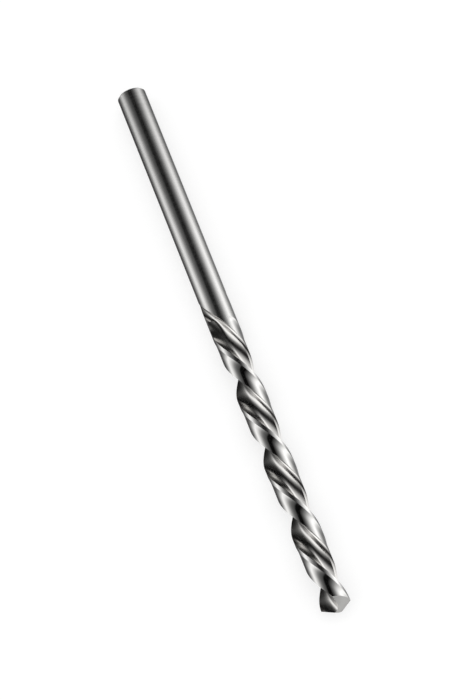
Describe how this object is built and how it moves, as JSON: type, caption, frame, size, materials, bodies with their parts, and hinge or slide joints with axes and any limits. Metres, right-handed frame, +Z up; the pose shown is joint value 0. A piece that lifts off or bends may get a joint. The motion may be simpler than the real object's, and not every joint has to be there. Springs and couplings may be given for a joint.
{
  "type": "twist drill bit",
  "caption": "Left-hand twist drill bit with a plain cylindrical shank, helical flutes and a ground conical point.",
  "frame": {"origin": "centre of the flat shank end, on the drill's axis", "axes": "+X along the drill's axis from the shank end to the point, +Z up as it lies"},
  "size_m": [0.065, 0.0032, 0.0032],
  "materials": {
    "bright_steel": "bright ground high-speed steel, polished along the flutes, matte on the point flanks"
  },
  "bodies": {
    "root": {"drill_bit": "bright_steel"}
  },
  "joints": []
}
